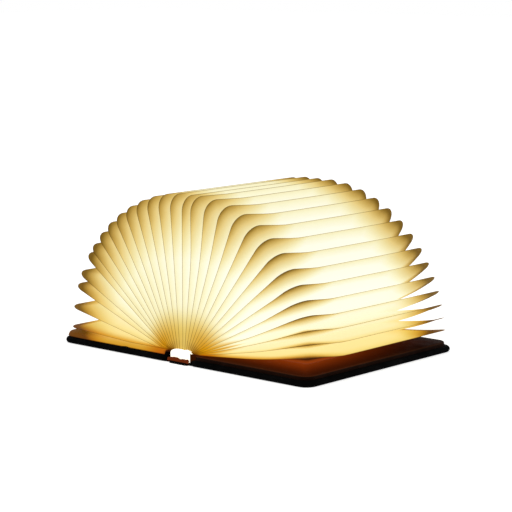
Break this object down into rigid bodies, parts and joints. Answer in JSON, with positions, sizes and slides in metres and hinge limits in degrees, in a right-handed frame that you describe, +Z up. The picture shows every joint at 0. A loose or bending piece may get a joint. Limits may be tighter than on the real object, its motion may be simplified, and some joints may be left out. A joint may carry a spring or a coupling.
{
  "type": "folding book lamp",
  "caption": "Lamp shaped like a book: padded covers hinge on a slim light bar and open a fan of folded paper pages that glow from inside.",
  "frame": {"origin": "middle of the spine's underside, on the surface that the open lamp lies on", "axes": "+X across the open covers to the right cover's fore edge, +Y along the spine to the end with the charging inlet, +Z up"},
  "size_m": [0.304, 0.212, 0.1507],
  "materials": {
    "black_leatherette": "fine-grained black leatherette over board",
    "grey_board": "raw grey board",
    "brown_lining": "dark brown leatherette lining, satin",
    "page_paper": "translucent fibre paper, glowing warm when lit",
    "dark_plastic": "moulded, matte",
    "milky_diffuser": "milky translucent, lit from inside",
    "white_board": "white solder mask",
    "light_chip": "yellow phosphor chip",
    "battery_foil": "laminated foil pouch",
    "foam": "adhesive foam",
    "green_board": "green solder mask",
    "tinned_steel": "tinned steel",
    "black_chip": "moulded chip",
    "lead_sleeve": "sleeved wire",
    "brass_pin": "header pin",
    "nickel": "nickel-plated magnet"
  },
  "bodies": {
    "root": {"spine_board": "black_leatherette", "base_tray": "dark_plastic", "diffuser": "milky_diffuser", "led_board": "white_board", "leds": "light_chip", "battery_packs": "battery_foil", "battery_pad": "foam", "control_board": "green_board", "usb_inlet": "tinned_steel", "hall_sensor": "black_chip", "charge_light": "light_chip", "battery_leads": "lead_sleeve", "led_leads": "brass_pin", "tray_screws": "tinned_steel", "left_hinge_skin": "black_leatherette", "right_hinge_skin": "black_leatherette", "left_inner_lining": "brown_lining", "right_inner_lining": "brown_lining", "pleats_left": "page_paper", "pleats_right": "page_paper", "page_15": "page_paper"},
    "right_cover": {"right_cover": "black_leatherette", "right_board": "grey_board", "right_liner": "brown_lining", "right_magnets": "nickel", "switch_magnet": "nickel"},
    "left_cover": {"left_cover": "black_leatherette", "left_board": "grey_board", "left_liner": "brown_lining", "left_magnets": "nickel", "page_30": "page_paper"},
    "page_01": {"page_01": "page_paper"},
    "page_02": {"page_02": "page_paper"},
    "page_03": {"page_03": "page_paper"},
    "page_04": {"page_04": "page_paper"},
    "page_05": {"page_05": "page_paper"},
    "page_06": {"page_06": "page_paper"},
    "page_07": {"page_07": "page_paper"},
    "page_08": {"page_08": "page_paper"},
    "page_09": {"page_09": "page_paper"},
    "page_10": {"page_10": "page_paper"},
    "page_11": {"page_11": "page_paper"},
    "page_12": {"page_12": "page_paper"},
    "page_13": {"page_13": "page_paper"},
    "page_14": {"page_14": "page_paper"},
    "page_16": {"page_16": "page_paper"},
    "page_17": {"page_17": "page_paper"},
    "page_18": {"page_18": "page_paper"},
    "page_19": {"page_19": "page_paper"},
    "page_20": {"page_20": "page_paper"},
    "page_21": {"page_21": "page_paper"},
    "page_22": {"page_22": "page_paper"},
    "page_23": {"page_23": "page_paper"},
    "page_24": {"page_24": "page_paper"},
    "page_25": {"page_25": "page_paper"},
    "page_26": {"page_26": "page_paper"},
    "page_27": {"page_27": "page_paper"},
    "page_28": {"page_28": "page_paper"},
    "page_29": {"page_29": "page_paper"}
  },
  "joints": [
    {"name": "right_cover_hinge", "type": "hinge", "parent": "root", "child": "right_cover", "pos_m": [0.0087, 0, 0.0083], "axis": [0, -1, 0], "range_deg": [-90, 90], "deforming": ["right_hinge_skin", "right_inner_lining", "pleats_right"]},
    {"name": "left_cover_hinge", "type": "hinge", "parent": "root", "child": "left_cover", "pos_m": [-0.0087, 0, 0.0083], "axis": [0, 1, 0], "range_deg": [-90, 90], "deforming": ["left_hinge_skin", "left_inner_lining", "pleats_left"]},
    {"name": "page_01_hinge", "type": "hinge", "parent": "root", "child": "page_01", "pos_m": [0.0087, 0, 0.0083], "axis": [0, -1, 0], "range_deg": [-85.62, 85.62]},
    {"name": "page_02_hinge", "type": "hinge", "parent": "root", "child": "page_02", "pos_m": [0.0087, 0, 0.0083], "axis": [0, -1, 0], "range_deg": [-81.11, 81.11]},
    {"name": "page_03_hinge", "type": "hinge", "parent": "root", "child": "page_03", "pos_m": [0.0087, 0, 0.0083], "axis": [0, -1, 0], "range_deg": [-76.39, 76.39]},
    {"name": "page_04_hinge", "type": "hinge", "parent": "root", "child": "page_04", "pos_m": [0.0087, 0, 0.0083], "axis": [0, -1, 0], "range_deg": [-71.4, 71.4]},
    {"name": "page_05_hinge", "type": "hinge", "parent": "root", "child": "page_05", "pos_m": [0.0087, 0, 0.0083], "axis": [0, -1, 0], "range_deg": [-66.1, 66.1]},
    {"name": "page_06_hinge", "type": "hinge", "parent": "root", "child": "page_06", "pos_m": [0.0087, 0, 0.0083], "axis": [0, -1, 0], "range_deg": [-60.46, 60.46]},
    {"name": "page_07_hinge", "type": "hinge", "parent": "root", "child": "page_07", "pos_m": [0.0087, 0, 0.0083], "axis": [0, -1, 0], "range_deg": [-54.49, 54.49]},
    {"name": "page_08_hinge", "type": "hinge", "parent": "root", "child": "page_08", "pos_m": [0.0087, 0, 0.0083], "axis": [0, -1, 0], "range_deg": [-48.2, 48.2]},
    {"name": "page_09_hinge", "type": "hinge", "parent": "root", "child": "page_09", "pos_m": [0.0087, 0, 0.0083], "axis": [0, -1, 0], "range_deg": [-41.64, 41.64]},
    {"name": "page_10_hinge", "type": "hinge", "parent": "root", "child": "page_10", "pos_m": [0.0087, 0, 0.0083], "axis": [0, -1, 0], "range_deg": [-34.86, 34.86]},
    {"name": "page_11_hinge", "type": "hinge", "parent": "root", "child": "page_11", "pos_m": [0.0087, 0, 0.0083], "axis": [0, -1, 0], "range_deg": [-27.91, 27.91]},
    {"name": "page_12_hinge", "type": "hinge", "parent": "root", "child": "page_12", "pos_m": [0.0087, 0, 0.0083], "axis": [0, -1, 0], "range_deg": [-20.87, 20.87]},
    {"name": "page_13_hinge", "type": "hinge", "parent": "root", "child": "page_13", "pos_m": [0.0087, 0, 0.0083], "axis": [0, -1, 0], "range_deg": [-13.81, 13.81]},
    {"name": "page_14_hinge", "type": "hinge", "parent": "root", "child": "page_14", "pos_m": [0.0087, 0, 0.0083], "axis": [0, -1, 0], "range_deg": [-6.81, 6.81]},
    {"name": "page_16_hinge", "type": "hinge", "parent": "root", "child": "page_16", "pos_m": [-0.0087, 0, 0.0083], "axis": [0, 1, 0], "range_deg": [-6.02, 6.02]},
    {"name": "page_17_hinge", "type": "hinge", "parent": "root", "child": "page_17", "pos_m": [-0.0087, 0, 0.0083], "axis": [0, 1, 0], "range_deg": [-12.01, 12.01]},
    {"name": "page_18_hinge", "type": "hinge", "parent": "root", "child": "page_18", "pos_m": [-0.0087, 0, 0.0083], "axis": [0, 1, 0], "range_deg": [-18.01, 18.01]},
    {"name": "page_19_hinge", "type": "hinge", "parent": "root", "child": "page_19", "pos_m": [-0.0087, 0, 0.0083], "axis": [0, 1, 0], "range_deg": [-24.02, 24.02]},
    {"name": "page_20_hinge", "type": "hinge", "parent": "root", "child": "page_20", "pos_m": [-0.0087, 0, 0.0083], "axis": [0, 1, 0], "range_deg": [-30.02, 30.02]},
    {"name": "page_21_hinge", "type": "hinge", "parent": "root", "child": "page_21", "pos_m": [-0.0087, 0, 0.0083], "axis": [0, 1, 0], "range_deg": [-36.02, 36.02]},
    {"name": "page_22_hinge", "type": "hinge", "parent": "root", "child": "page_22", "pos_m": [-0.0087, 0, 0.0083], "axis": [0, 1, 0], "range_deg": [-42.02, 42.02]},
    {"name": "page_23_hinge", "type": "hinge", "parent": "root", "child": "page_23", "pos_m": [-0.0087, 0, 0.0083], "axis": [0, 1, 0], "range_deg": [-48.02, 48.02]},
    {"name": "page_24_hinge", "type": "hinge", "parent": "root", "child": "page_24", "pos_m": [-0.0087, 0, 0.0083], "axis": [0, 1, 0], "range_deg": [-54.05, 54.05]},
    {"name": "page_25_hinge", "type": "hinge", "parent": "root", "child": "page_25", "pos_m": [-0.0087, 0, 0.0083], "axis": [0, 1, 0], "range_deg": [-60.12, 60.12]},
    {"name": "page_26_hinge", "type": "hinge", "parent": "root", "child": "page_26", "pos_m": [-0.0087, 0, 0.0083], "axis": [0, 1, 0], "range_deg": [-66.35, 66.35]},
    {"name": "page_27_hinge", "type": "hinge", "parent": "root", "child": "page_27", "pos_m": [-0.0087, 0, 0.0083], "axis": [0, 1, 0], "range_deg": [-72.96, 72.96]},
    {"name": "page_28_hinge", "type": "hinge", "parent": "root", "child": "page_28", "pos_m": [-0.0087, 0, 0.0083], "axis": [0, 1, 0], "range_deg": [-80.37, 80.37]},
    {"name": "page_29_hinge", "type": "hinge", "parent": "root", "child": "page_29", "pos_m": [-0.0087, 0, 0.0083], "axis": [0, 1, 0], "range_deg": [-88.33, 88.33]}
  ],
  "couplings": [
    {"joint": "page_01_hinge", "follows": "right_cover_hinge", "ratio": 0.95117},
    {"joint": "page_02_hinge", "follows": "right_cover_hinge", "ratio": 0.90102},
    {"joint": "page_03_hinge", "follows": "right_cover_hinge", "ratio": 0.84859},
    {"joint": "page_04_hinge", "follows": "right_cover_hinge", "ratio": 0.79317},
    {"joint": "page_05_hinge", "follows": "right_cover_hinge", "ratio": 0.73425},
    {"joint": "page_06_hinge", "follows": "right_cover_hinge", "ratio": 0.6716},
    {"joint": "page_07_hinge", "follows": "right_cover_hinge", "ratio": 0.60524},
    {"joint": "page_08_hinge", "follows": "right_cover_hinge", "ratio": 0.5354},
    {"joint": "page_09_hinge", "follows": "right_cover_hinge", "ratio": 0.46251},
    {"joint": "page_10_hinge", "follows": "right_cover_hinge", "ratio": 0.38714},
    {"joint": "page_11_hinge", "follows": "right_cover_hinge", "ratio": 0.30998},
    {"joint": "page_12_hinge", "follows": "right_cover_hinge", "ratio": 0.23176},
    {"joint": "page_13_hinge", "follows": "right_cover_hinge", "ratio": 0.15329},
    {"joint": "page_14_hinge", "follows": "right_cover_hinge", "ratio": 0.075445},
    {"joint": "page_16_hinge", "follows": "left_cover_hinge", "ratio": 0.066667},
    {"joint": "page_17_hinge", "follows": "left_cover_hinge", "ratio": 0.13333},
    {"joint": "page_18_hinge", "follows": "left_cover_hinge", "ratio": 0.2},
    {"joint": "page_19_hinge", "follows": "left_cover_hinge", "ratio": 0.26667},
    {"joint": "page_20_hinge", "follows": "left_cover_hinge", "ratio": 0.33333},
    {"joint": "page_21_hinge", "follows": "left_cover_hinge", "ratio": 0.4},
    {"joint": "page_22_hinge", "follows": "left_cover_hinge", "ratio": 0.46668},
    {"joint": "page_23_hinge", "follows": "left_cover_hinge", "ratio": 0.53341},
    {"joint": "page_24_hinge", "follows": "left_cover_hinge", "ratio": 0.60033},
    {"joint": "page_25_hinge", "follows": "left_cover_hinge", "ratio": 0.66785},
    {"joint": "page_26_hinge", "follows": "left_cover_hinge", "ratio": 0.73704},
    {"joint": "page_27_hinge", "follows": "left_cover_hinge", "ratio": 0.81047},
    {"joint": "page_28_hinge", "follows": "left_cover_hinge", "ratio": 0.89281},
    {"joint": "page_29_hinge", "follows": "left_cover_hinge", "ratio": 0.98127}
  ]
}
